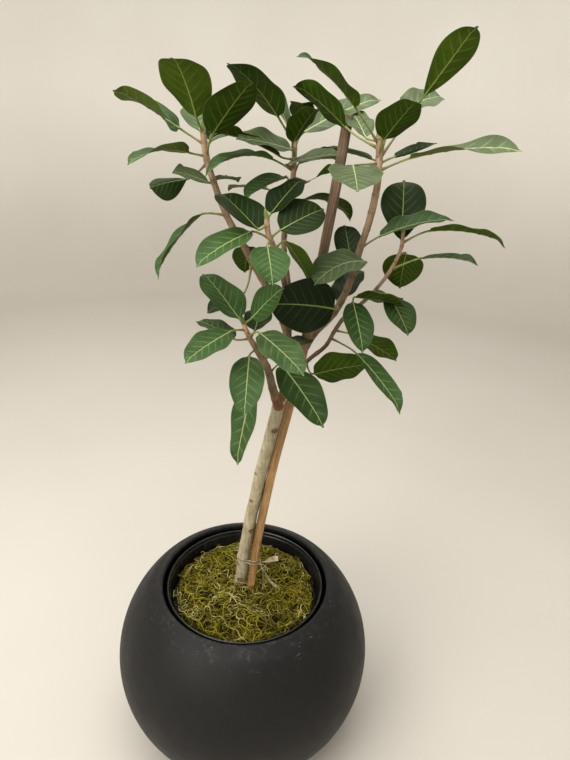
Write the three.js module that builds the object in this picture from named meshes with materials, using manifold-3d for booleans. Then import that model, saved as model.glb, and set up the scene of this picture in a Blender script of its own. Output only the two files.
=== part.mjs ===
// Potted ficus: a small tree of several shoots on one pale trunk, tied to a wooden
// stake, growing in a nursery pot that stands inside a round planter.
// Millimetres and degrees. +Z is up, the origin is the centre of the planter's base,
// and the plant leans towards +X. A heading of 0 points along +X, and 90 along +Y.
import * as THREE from "three";
import { mergeVertices } from "three/addons/utils/BufferGeometryUtils.js";
import Module from "manifold-3d";

const wasm = await Module();
wasm.setup();

// ---- Driving dimensions ----
const GAP = 0.4; // clearance between pieces that touch

const PLANTER = { radius: 250, halfHeight: 230, centre: 194, shoulder: 340, wall: 8, floor: 12 };
// The planter's lip, outside to inside: how far in and how far up from the shoulder.
const LIP = [[9, 8], [21, 15], [26.5, 19.5], [29.5, 21], [33, 20], [34, 16.5]];
const POT = { bottomRadius: 115, topRadius: 147, rimRadius: 152, rim: 354, rimHeight: 16, wall: 2 };
const SOIL_TOP = 310;
const MOSS = { edge: 320, crown: 336 };
const TRUNK_RADIUS = { buried: 12.6, top: 10.8 };
const STAKE_SIDE = 15;
const TIE = { height: 399, width: 13, thickness: 1.6, lean: 8, endRadius: 2.2 };
// A leaf's stalk: its radius, its clearance from the bark, its least length, and how early it
// turns towards the blade, as a share of its length.
const STALK = { radius: 1.6, clearance: 1, least: 6, turn: 0.35 };
// How far a blade's faces and its midrib stand above and below the middle of its section, how
// blunt its ends are (the lower, the blunter), and where it is fullest unless its row says so.
const BLADE = { face: 0.5, midribTop: 0.6, midribBottom: 1.2, hollow: 0.1, bluntness: 0.6, fullest: 0.46 };

// Stages of a leaf blade, as shares of its length, at which it gets a cross-section.
const BLADE_STAGES = [0.07, 0.25, 0.5, 0.75, 0.93];

// How many flat sides stand for the round of each piece.
const SIDES = { planter: 48, pot: 40, trunk: 14, shoot: 8, tieEnd: 6, stalk: 8 };

// The trunk's axis, from its buried end to the top of the pale wood.
const TRUNK = [[-27, 14, 225], [-11, 14, 335], [0, 14, 441], [14, 13, 535], [29, 13, 623], [42, 13, 686],
  [52, 13, 745]];

// The stake's axis: a bar that bows a little where it is tied.
const STAKE = [[-22, -20, 70], [-8, -10, 190], [10, 2, 325], [20.5, 6, 441], [34, 10, 535], [48.5, 16, 621],
  [68, 24, 720], [92, 36, 851], [112, 50, 996], [131, 64, 1145], [136, 68, 1192]];

// The knot's two loose ends, as the points that they pass on the way out from the knot.
const TIE_ENDS = [
  [[0, 0, 0], [12, -3, 6], [26, -4, 8], [38, -4, 12]],
  [[0, 0, 0], [9, -5, -8], [15, -8, -22], [17, -9, -36]],
];

// The shoots: each has its radius at both ends, and the points that its axis follows.
const SHOOTS = {
  left: { base: 6.2, tip: 4.6, points: [[54, 12, 735], [64, 4, 795], [62, -5, 860], [41, -10, 920],
    [19, -10, 958], [0, -8, 988], [-12, -5, 1010], [-32, 0, 1040], [-49, 5, 1075], [-58, 5, 1100],
    [-66, 5, 1125], [-71, 5, 1162]] },
  middle: { base: 5.4, tip: 4.2, points: [[55, 16, 735], [60, 24, 795], [61, 45, 913], [48, 60, 1005],
    [54, 60, 1060], [58, 60, 1105], [58, 60, 1157]] },
  centre: { base: 5, tip: 3.8, points: [[54, 9, 735], [63, 2, 858], [60, -18, 922], [48, -42, 978],
    [36, -58, 1017], [27, -65, 1040], [25, -68, 1059]] },
  right: { base: 7, tip: 5, points: [[52, 20, 735], [64, 46, 766], [82, 66, 797], [105, 70, 845],
    [136, 60, 888], [149, 50, 919], [160, 40, 961], [167, 30, 1003], [176, 22, 1047], [182, 15, 1108],
    [177, 10, 1167]] },
  side: { base: 4, tip: 3, points: [[74, 50, 778], [103, 56, 808], [126, 50, 833], [140, 42, 866],
    [154, 38, 891], [180, 40, 915], [204, 45, 942], [224, 50, 973], [235, 52, 1005], [235, 52, 1031]] },
  low: { base: 8.5, tip: 3.6, points: [[51, 8, 735], [41, -10, 774], [31, -32, 822], [12, -50, 864],
    [2, -60, 886], [-6, -65, 909]] },
};

// The leaves, from the top of each shoot down. A row gives the height on the shoot where
// the leaf grows; the stalk's heading, rise and length; the blade's heading, rise, length
// and width; and how far the blade rolls to its right, arches down, folds up and twists, and
// at which share of its length it is fullest, if that differs from most leaves.
const LEAVES = {
  left: [
    [1160, [245, 50, 25], [260, 39, 110, 67], [0, 30, 8, 0, 0.54]],
    [1130, [300, 53, 38], [315, 38, 105, 62], [-15, 10, 8, 0]],
    [1145, [180, 30, 40], [220, 25, 106, 50], [-70, 10, 12, 120]],
    [1130, [200, 10, 25], [225, -8, 100, 40], [35, 45, 15, -50]],
    [1140, [70, 30, 20], [75, 10, 80, 50], [0, 20, 15, 0]],
    [1122, [192, -38, 38], [216, -10, 58, 42], [-40, 10, -35, 0, 0.62]],
    [1096, [262, 2, 24], [212, 16, 56, 32], [-30, 15, 12, 0]],
    [1050, [195, 0, 40], [235, -40, 120, 40], [30, 30, 20, 0]],
    [1000, [90, 10, 20], [100, -50, 64, 44], [0, 15, 15, 0]],
    [985, [230, -60, 60], [185, -25, 52, 44], [-20, 15, 12, 0]],
  ],
  middle: [
    [1150, [225, 45, 50], [223, 35, 110, 70], [5, 25, 5, 0]],
    [1140, [110, 55, 30], [152, 55, 92, 46], [0, 10, 15, 0, 0.62]],
    [1135, [262, 40, 26], [304, 40, 76, 42], [0, 20, 22, 0]],
    [1133, [262, 25, 22], [203, 9, 88, 52], [-28, 15, 15, 0]],
    [1112, [202, 25, 37], [216, -10, 118, 41], [0, 55, 20, 0]],
    [1110, [66, 60, 65], [10, 25, 130, 50], [35, 15, 12, 0]],
    [1075, [245, 55, 35], [220, -20, 80, 46], [0, 15, 25, 0]],
    [1045, [40, 40, 35], [30, -18, 106, 44], [-15, 60, 15, 0]],
  ],
  centre: [
    [1055, [75, 25, 18], [50, 35, 80, 54], [0, 10, 12, 0]],
    [1050, [225, -15, 18], [142, 30, 84, 76], [0, 10, 12, 0]],
    [1031, [330, 40, 20], [34, 20, 78, 58], [40, 10, 12, 0]],
    [1030, [200, 20, 30], [225, -20, 100, 48], [-15, 20, 12, 0]],
    [1030, [260, -20, 20], [280, -30, 72, 54], [0, 15, 8, 0]],
  ],
  right: [
    [1155, [210, 45, 65], [217, 30, 115, 60], [-14, 20, 12, 0]],
    [1150, [150, 26, 62], [150, 32, 102, 52], [50, 15, 12, 0]],
    [1140, [275, 50, 30], [303, 41, 76, 57], [-15, 10, 10, 0]],
    [1135, [0, 58, 98], [303, 46, 112, 46], [-30, 0, 8, 0, 0.64]],
    [1130, [45, 60, 85], [35, 15, 85, 52], [25, 15, 12, 0]],
    [1120, [350, 25, 45], [325, 8, 155, 46], [-15, 20, 15, 60]],
    [1130, [0, 25, 25], [30, 16, 78, 34], [0, -15, 20, 0]],
    [1130, [205, -5, 42], [270, -15, 92, 76], [0, 15, 6, 0]],
    [1120, [92, 12, 62], [155, 5, 96, 38], [0, 20, 20, 0]],
    [985, [105, -20, 24], [100, 40, 80, 50], [0, 10, 12, 0]],
    [1005, [20, 30, 35], [5, 15, 120, 46], [15, 25, 20, 0]],
    [974, [300, 28, 31], [212, -16, 98, 64], [-16, 58, 10, 0, 0.5]],
    [905, [258, 8, 44], [220, 12, 136, 85], [-85, 10, 6, 0]],
    [920, [110, -30, 25], [55, 30, 85, 50], [0, 10, 15, 0]],
  ],
  side: [
    [1005, [85, 40, 14], [88, 60, 104, 72], [-8, 10, 10, 0, 0.6]],
    [1012, [345, 30, 45], [320, 0, 125, 30], [-12, 30, 24, 0]],
    [992, [50, 0, 26], [85, -65, 70, 68], [0, 15, 8, 0]],
    [970, [355, 25, 50], [320, 5, 95, 26], [5, 25, 20, 0]],
    [935, [345, -15, 28], [292, -32, 78, 54], [0, 15, 12, 0]],
    [890, [305, 60, 35], [280, -35, 95, 48], [0, 15, 12, 0]],
    [865, [10, -15, 38], [5, -30, 88, 54], [-50, 15, 12, 0, 0.54]],
    [850, [335, -20, 50], [310, -30, 130, 42], [0, 20, 20, 0]],
    [800, [300, -25, 28], [354, 16, 92, 68], [-70, 10, 8, 0]],
  ],
  low: [
    [905, [245, 40, 15], [140, 35, 94, 66], [0, 10, 8, 0]],
    [905, [355, 40, 16], [335, 48, 71, 48], [60, 10, 10, 0]],
    [895, [215, 5, 25], [230, -15, 92, 50], [-15, 15, 8, 0]],
    [885, [310, 25, 30], [315, -20, 100, 54], [15, 15, 6, 0]],
    [860, [245, -10, 22], [270, -35, 100, 52], [0, 15, 8, 0]],
    [810, [335, 45, 30], [305, -25, 130, 62], [10, 15, 6, 0]],
    [835, [210, -50, 20], [240, -70, 155, 44], [0, 10, 12, 0]],
  ],
};

// ---- Materials ----
const finish = (color, roughness) => () => (
  new THREE.MeshStandardMaterial({ color, roughness, metalness: 0 })
);
const planterFinish = finish(0x2f2f31, 0.7);
const potFinish = finish(0x0c0c0d, 0.3);
const soilFinish = finish(0x2b2018, 0.95);
const mossFinish = finish(0x6b6e1c, 0.95);
const barkFinish = finish(0xa29c84, 0.75);
const stakeFinish = finish(0x9a6c42, 0.7);
const tieFinish = finish(0x9b8f7a, 0.8);
const leafFinish = finish(0x1f4a26, 0.4);

// ---- Helpers ----
const model = new THREE.Group();

function addPiece(name, geometry, material) {
  const mesh = new THREE.Mesh(geometry, material());
  mesh.name = name;
  model.add(mesh);
}

const vector = ([x, y, z]) => new THREE.Vector3(x, y, z);

// The unit vector of a heading and a rise above the horizontal.
function direction(heading, rise) {
  const h = THREE.MathUtils.degToRad(heading);
  const r = THREE.MathUtils.degToRad(rise);
  return new THREE.Vector3(Math.cos(r) * Math.cos(h), Math.cos(r) * Math.sin(h), Math.sin(r));
}

function volume(positions, triangles) {
  const [a, b, c] = [new THREE.Vector3(), new THREE.Vector3(), new THREE.Vector3()];
  let total = 0;
  for (let i = 0; i < triangles.length; i += 3) {
    a.fromArray(positions, triangles[i] * 3);
    b.fromArray(positions, triangles[i + 1] * 3);
    c.fromArray(positions, triangles[i + 2] * 3);
    total += a.dot(b.cross(c));
  }
  return total;
}

// A closed body through rings of points, closed at each end by a fan to one point. The second
// half of a ring is split along the other diagonals, so that both faces of a thin twisted body
// are split alike.
function loft(rings, start, end) {
  const sides = rings[0].length;
  const points = [start, ...rings.flat(), end];
  const positions = points.flatMap((p) => [p.x, p.y, p.z]);
  const last = points.length - 1;
  const triangles = [];
  for (let k = 0; k < sides; k += 1) {
    const next = (k + 1) % sides;
    triangles.push(0, 1 + next, 1 + k);
    for (let i = 0; i < rings.length - 1; i += 1) {
      const here = 1 + i * sides;
      const above = here + sides;
      if (k < sides / 2) {
        triangles.push(here + k, here + next, above + next, here + k, above + next, above + k);
      } else {
        triangles.push(here + k, here + next, above + k, here + next, above + next, above + k);
      }
    }
    triangles.push(last, last - sides + k, last - sides + next);
  }
  if (volume(positions, triangles) < 0) triangles.reverse();
  const geometry = new THREE.BufferGeometry();
  geometry.setAttribute("position", new THREE.Float32BufferAttribute(positions, 3));
  geometry.setIndex(triangles);
  return geometry;
}

// A round body along a smooth curve, whose radius tapers from one end to the other.
function taperedTube(points, startRadius, endRadius, sides, steps) {
  const curve = new THREE.CatmullRomCurve3(points.map(vector));
  const frames = curve.computeFrenetFrames(steps);
  const rings = frames.normals.map((normal, i) => {
    const centre = curve.getPointAt(i / steps);
    const radius = THREE.MathUtils.lerp(startRadius, endRadius, i / steps);
    return Array.from({ length: sides }, (_, k) => {
      const turn = (2 * Math.PI * k) / sides;
      return centre.clone()
        .addScaledVector(normal, radius * Math.cos(turn))
        .addScaledVector(frames.binormals[i], radius * Math.sin(turn));
    });
  });
  return loft(rings, curve.getPoint(0), curve.getPoint(1));
}

// A body of revolution about +Z, from an outline of [radius, height] points.
function turned(outline, segments) {
  const profile = outline.map(([radius, height]) => new THREE.Vector2(radius, height));
  return new THREE.LatheGeometry(profile, segments).rotateX(Math.PI / 2);
}

function toSolid(geometry) {
  const bare = geometry.clone().deleteAttribute("normal").deleteAttribute("uv");
  const merged = mergeVertices(bare, 1e-4);
  const vertProperties = new Float32Array(merged.attributes.position.array);
  const triVerts = new Uint32Array(merged.index.array);
  return new wasm.Manifold(new wasm.Mesh({ numProp: 3, vertProperties, triVerts }));
}

function fromSolid(solid) {
  const { vertProperties, triVerts } = solid.getMesh();
  const geometry = new THREE.BufferGeometry();
  geometry.setAttribute("position", new THREE.BufferAttribute(vertProperties, 3));
  geometry.setIndex(new THREE.BufferAttribute(triVerts, 1));
  geometry.computeVertexNormals();
  return geometry;
}

function join(geometries) {
  return fromSolid(geometries.map(toSolid).reduce((sum, solid) => sum.add(solid)));
}

function cut(geometry, tools) {
  return fromSolid(tools.map(toSolid).reduce((rest, tool) => rest.subtract(tool), toSolid(geometry)));
}

// ---- Planter: a flattened globe with an open top and a flat base ----
function planter() {
  const { radius, halfHeight, centre, shoulder, wall, floor } = PLANTER;
  const steps = 14;
  const arc = (r, h, low, high) => {
    const from = Math.asin((low - centre) / h);
    const to = Math.asin((high - centre) / h);
    return Array.from({ length: steps + 1 }, (_, i) => {
      const turn = from + ((to - from) * i) / steps;
      return [r * Math.cos(turn), centre + h * Math.sin(turn)];
    });
  };
  const outside = arc(radius, halfHeight, 0, shoulder);
  const inside = arc(radius - wall, halfHeight - wall, floor, shoulder).reverse();
  const lip = LIP.map(([inward, up]) => [outside.at(-1)[0] - inward, shoulder + up]);
  return turned([[0, 0], ...outside, ...lip, ...inside, [0, floor]], SIDES.planter);
}

// ---- Nursery pot: a thin tapered tub with a stepped rim, on the planter's floor ----
const potFloor = PLANTER.floor + GAP;
const potShoulder = POT.rim - POT.rimHeight;
const potSlope = (POT.topRadius - POT.bottomRadius) / (potShoulder - potFloor);
const potInside = (height) => POT.bottomRadius + potSlope * (height - potFloor) - POT.wall;

function nurseryPot() {
  const { bottomRadius, topRadius, rimRadius, rim, wall } = POT;
  const step = 2;
  return turned([
    [0, potFloor], [bottomRadius, potFloor], [topRadius, potShoulder],
    [rimRadius, potShoulder + step], [rimRadius, rim - step], [rimRadius - step, rim],
    [rimRadius - 2 * step, rim - step], [rimRadius - 2 * step, rim - 4 * step],
    [rimRadius - 3 * step, rim - 5 * step], [rimRadius - 3 * step, potShoulder],
    [potInside(potShoulder), potShoulder - step], [potInside(potFloor), potFloor + wall],
    [0, potFloor + wall],
  ], SIDES.pot);
}

// ---- Soil and moss, with holes for the trunk and the stake ----
function stakeBar(side) {
  const half = side / 2;
  const corner = 1;
  const section = new THREE.Shape([
    [half - corner, -half], [half, corner - half], [half, half - corner], [half - corner, half],
    [corner - half, half], [-half, half - corner], [-half, corner - half], [corner - half, -half],
  ].map(([x, y]) => new THREE.Vector2(x, y)));
  const path = new THREE.CatmullRomCurve3(STAKE.map(vector));
  return new THREE.ExtrudeGeometry(section, { steps: 2 * (STAKE.length - 1), extrudePath: path });
}

function trunkWood(extra) {
  const { buried, top } = TRUNK_RADIUS;
  return taperedTube(TRUNK, buried + extra, top + extra, SIDES.trunk, 2 * (TRUNK.length - 1));
}

const holes = [trunkWood(GAP), stakeBar(STAKE_SIDE + 2 * GAP)];

function soil() {
  const bottom = potFloor + POT.wall + GAP;
  const outline = [
    [0, bottom], [potInside(bottom) - GAP, bottom], [potInside(SOIL_TOP) - GAP, SOIL_TOP], [0, SOIL_TOP],
  ];
  return cut(turned(outline, SIDES.pot), holes);
}

function moss() {
  const bottom = SOIL_TOP + GAP;
  const radius = potInside(bottom) - 2 * GAP;
  const steps = 4;
  const dome = Array.from({ length: steps + 1 }, (_, i) => {
    const turn = (Math.PI / 2) * (i / steps);
    return [radius * Math.cos(turn), MOSS.edge + (MOSS.crown - MOSS.edge) * Math.sin(turn)];
  });
  return cut(turned([[0, bottom], [radius, bottom], ...dome], SIDES.pot), holes);
}

// ---- Trunk and shoots: one grown piece of wood ----
function wood() {
  const shoots = Object.values(SHOOTS).map(({ base, tip, points }) => (
    taperedTube(points, base, tip, SIDES.shoot, 2 * points.length)
  ));
  return join([trunkWood(0), ...shoots]);
}

// ---- Tie: a band round the trunk and the stake, with a knot's two loose ends ----
function alongAxis(points, height) {
  const above = Math.max(1, points.findIndex(([, , z]) => z >= height));
  const [low, high] = [vector(points[above - 1]), vector(points[above])];
  const share = (height - low.z) / (high.z - low.z);
  return { place: low.clone().lerp(high, share), along: high.sub(low).normalize() };
}

function beltOutline(first, firstRadius, second, secondRadius) {
  const apart = second.clone().sub(first);
  const heading = Math.atan2(apart.y, apart.x);
  const lead = Math.acos((firstRadius - secondRadius) / apart.length());
  const path = new THREE.Path();
  path.absarc(first.x, first.y, firstRadius, heading + lead, heading - lead + 2 * Math.PI);
  path.absarc(second.x, second.y, secondRadius, heading - lead, heading + lead);
  return path.getPoints(8);
}

function tie() {
  const { height, width, thickness, lean, endRadius } = TIE;
  const trunkAt = alongAxis(TRUNK, height).place;
  const stakeAt = alongAxis(STAKE, height).place;
  const centre = new THREE.Vector2(0, 0);
  const apart = new THREE.Vector2(stakeAt.x - trunkAt.x, stakeAt.y - trunkAt.y);
  const trunkHug = TRUNK_RADIUS.buried;
  const stakeHug = (STAKE_SIDE / 2) * Math.SQRT2 + GAP;
  const belt = new THREE.Shape(beltOutline(centre, trunkHug + thickness, apart, stakeHug + thickness));
  belt.holes.push(new THREE.Path(beltOutline(centre, trunkHug, apart, stakeHug)));
  const band = new THREE.ExtrudeGeometry(belt, { depth: width, bevelEnabled: false });
  band.translate(0, 0, -width / 2).rotateY(THREE.MathUtils.degToRad(lean));
  band.translate(trunkAt.x, trunkAt.y, height);
  const knotOffset = 3;
  const knot = [stakeAt.x + stakeHug + thickness / 2, stakeAt.y - knotOffset, height];
  const ends = TIE_ENDS.map((steps) => {
    const path = steps.map((step) => step.map((along, axis) => knot[axis] + along));
    return taperedTube(path, endRadius, endRadius, SIDES.tieEnd, path.length + 1);
  });
  return join([band, ...ends]);
}

// ---- Leaves ----
// The share of its full width that a blade has at a share of its length.
const bladeOutline = (share, fullest) => (
  Math.sin(Math.PI * share ** (Math.log(0.5) / Math.log(fullest))) ** BLADE.bluntness
);

// Eight points round a leaf's section: the two edges, and three points on each face.
function leafSection(centre, side, up, halfWidth, fold) {
  const rise = Math.tan(THREE.MathUtils.degToRad(fold));
  const hollow = BLADE.hollow * halfWidth * rise;
  const at = (across, above) => centre.clone()
    .addScaledVector(side, halfWidth * across)
    .addScaledVector(up, halfWidth * Math.abs(across) * rise + above);
  return [
    at(-1, 0), at(-0.5, BLADE.face - hollow), at(0, BLADE.midribTop), at(0.5, BLADE.face - hollow),
    at(1, 0), at(0.5, -BLADE.face - hollow), at(0, -BLADE.midribBottom), at(-0.5, -BLADE.face - hollow),
  ];
}

// A ring of points round a leaf's stalk, square to the way that it runs.
function stalkSection(centre, side, ahead) {
  const across = side.clone().projectOnPlane(ahead).normalize();
  const above = across.clone().cross(ahead);
  return Array.from({ length: SIDES.stalk }, (_, k) => {
    const turn = Math.PI - (2 * Math.PI * k) / SIDES.stalk;
    return centre.clone()
      .addScaledVector(across, STALK.radius * Math.cos(turn))
      .addScaledVector(above, STALK.radius * Math.sin(turn));
  });
}

function leaf(shoot, [height, stalk, blade, bend]) {
  const [stalkHeading, stalkRise, stalkLength] = stalk;
  const [heading, rise, length, width] = blade;
  const [roll, arch, fold, twist, fullest = BLADE.fullest] = bend;
  const { place, along } = alongAxis(shoot.points, height);
  const grown = (height - shoot.points[0][2]) / (shoot.points.at(-1)[2] - shoot.points[0][2]);
  const bark = THREE.MathUtils.lerp(shoot.base, shoot.tip, grown);
  const out = direction(stalkHeading, stalkRise);
  const clear = (bark + STALK.radius + STALK.clearance) / Math.sin(out.angleTo(along));
  const start = place.clone().addScaledVector(out, clear);
  const base = place.clone().addScaledVector(out, Math.max(stalkLength, clear + STALK.least));

  const tilt = (share) => rise + arch * (0.5 - share);
  const radius = arch === 0 ? 0 : length / (2 * Math.sin(THREE.MathUtils.degToRad(arch) / 2));
  const midrib = (share) => {
    if (arch === 0) return base.clone().addScaledVector(direction(heading, rise), length * share);
    return base.clone()
      .addScaledVector(direction(heading, tilt(share) + 90), radius)
      .addScaledVector(direction(heading, tilt(0) + 90), -radius);
  };
  const frame = (share) => {
    const ahead = direction(heading, tilt(share));
    const turn = THREE.MathUtils.degToRad(roll + twist * share);
    const up = direction(heading, tilt(share) + 90).applyAxisAngle(ahead, turn);
    return { ahead, side: ahead.clone().cross(up), up };
  };

  const { ahead, side } = frame(0);
  const turnPoint = base.clone().addScaledVector(ahead, -STALK.turn * start.distanceTo(base));
  const petiole = new THREE.QuadraticBezierCurve3(start, turnPoint, base);
  const rings = [0, 0.5, 1].map((share) => (
    stalkSection(petiole.getPoint(share), side, petiole.getTangent(share))
  ));
  for (const share of BLADE_STAGES) {
    const here = frame(share);
    const halfWidth = (width / 2) * bladeOutline(share, fullest);
    rings.push(leafSection(midrib(share), here.side, here.up, halfWidth, fold));
  }
  return loft(rings, start, midrib(1));
}

// ---- Assembly ----
addPiece("planter", planter(), planterFinish);
addPiece("nursery_pot", nurseryPot(), potFinish);
addPiece("soil", soil(), soilFinish);
addPiece("moss", moss(), mossFinish);
addPiece("trunk", wood(), barkFinish);
addPiece("stake", stakeBar(STAKE_SIDE), stakeFinish);
addPiece("tie", tie(), tieFinish);
for (const [name, rows] of Object.entries(LEAVES)) {
  rows.forEach((row, i) => {
    addPiece(`leaf_${name}_${String(i + 1).padStart(2, "0")}`, leaf(SHOOTS[name], row), leafFinish);
  });
}

export default model;
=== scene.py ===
# Potted ficus: the looks of a small ficus of several shoots, tied to a stake, in a nursery
# pot inside a round planter. The tables below are in millimetres and degrees, as the plant
# was measured; every mesh is made in metres, in the frame's own axes.
import math

import bpy
import numpy as np
from mathutils import Euler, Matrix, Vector


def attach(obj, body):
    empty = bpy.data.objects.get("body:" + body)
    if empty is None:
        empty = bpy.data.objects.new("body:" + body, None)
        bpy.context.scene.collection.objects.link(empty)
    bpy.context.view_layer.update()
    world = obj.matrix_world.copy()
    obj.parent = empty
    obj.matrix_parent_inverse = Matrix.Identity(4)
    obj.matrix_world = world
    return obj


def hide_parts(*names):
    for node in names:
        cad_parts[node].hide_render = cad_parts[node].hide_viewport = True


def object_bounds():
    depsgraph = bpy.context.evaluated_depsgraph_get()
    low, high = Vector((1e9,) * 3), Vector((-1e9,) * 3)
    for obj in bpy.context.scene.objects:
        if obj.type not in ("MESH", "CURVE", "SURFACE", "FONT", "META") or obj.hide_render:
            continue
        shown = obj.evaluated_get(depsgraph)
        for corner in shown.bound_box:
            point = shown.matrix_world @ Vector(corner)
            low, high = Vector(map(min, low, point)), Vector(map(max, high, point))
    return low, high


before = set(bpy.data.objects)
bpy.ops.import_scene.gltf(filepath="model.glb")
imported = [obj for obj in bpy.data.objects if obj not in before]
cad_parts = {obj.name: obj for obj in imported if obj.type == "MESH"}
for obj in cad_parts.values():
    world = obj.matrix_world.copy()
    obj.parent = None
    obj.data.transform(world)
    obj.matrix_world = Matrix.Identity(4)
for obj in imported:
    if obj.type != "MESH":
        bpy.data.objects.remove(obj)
cad_low, cad_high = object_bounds()

MM = 0.001
TAU = 2 * math.pi
BODY = "root"

# ---- The plant ----
# The trunk's axis, from its buried end to the top of the pale wood.
TRUNK = {"base": 12.6, "tip": 10.8, "points": [
    (-27, 14, 225), (-11, 14, 335), (0, 14, 441), (14, 13, 535), (29, 13, 623), (42, 13, 686),
    (52, 13, 745)]}

# Each shoot's radius at both ends, and the points that its axis follows.
SHOOTS = {
    "left": {"base": 6.2, "tip": 4.6, "points": [
        (54, 12, 735), (64, 4, 795), (62, -5, 860), (41, -10, 920), (19, -10, 958), (0, -8, 988),
        (-12, -5, 1010), (-32, 0, 1040), (-49, 5, 1075), (-58, 5, 1100), (-66, 5, 1125),
        (-71, 5, 1162)]},
    "middle": {"base": 5.4, "tip": 4.2, "points": [
        (55, 16, 735), (60, 24, 795), (61, 45, 913), (48, 60, 1005), (54, 60, 1060), (58, 60, 1105),
        (58, 60, 1157)]},
    "centre": {"base": 5, "tip": 3.8, "points": [
        (54, 9, 735), (63, 2, 858), (60, -18, 922), (48, -42, 978), (36, -58, 1017), (27, -65, 1040),
        (25, -68, 1059)]},
    "right": {"base": 7, "tip": 5, "points": [
        (52, 20, 735), (64, 46, 766), (82, 66, 797), (105, 70, 845), (136, 60, 888), (149, 50, 919),
        (160, 40, 961), (167, 30, 1003), (176, 22, 1047), (182, 15, 1108), (177, 10, 1167)]},
    "side": {"base": 4, "tip": 3, "points": [
        (74, 50, 778), (103, 56, 808), (126, 50, 833), (140, 42, 866), (154, 38, 891), (180, 40, 915),
        (204, 45, 942), (224, 50, 973), (235, 52, 1005), (235, 52, 1031)]},
    "low": {"base": 8.5, "tip": 3.6, "points": [
        (51, 8, 735), (41, -10, 774), (31, -32, 822), (12, -50, 864), (2, -60, 886), (-6, -65, 909)]},
}

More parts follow.
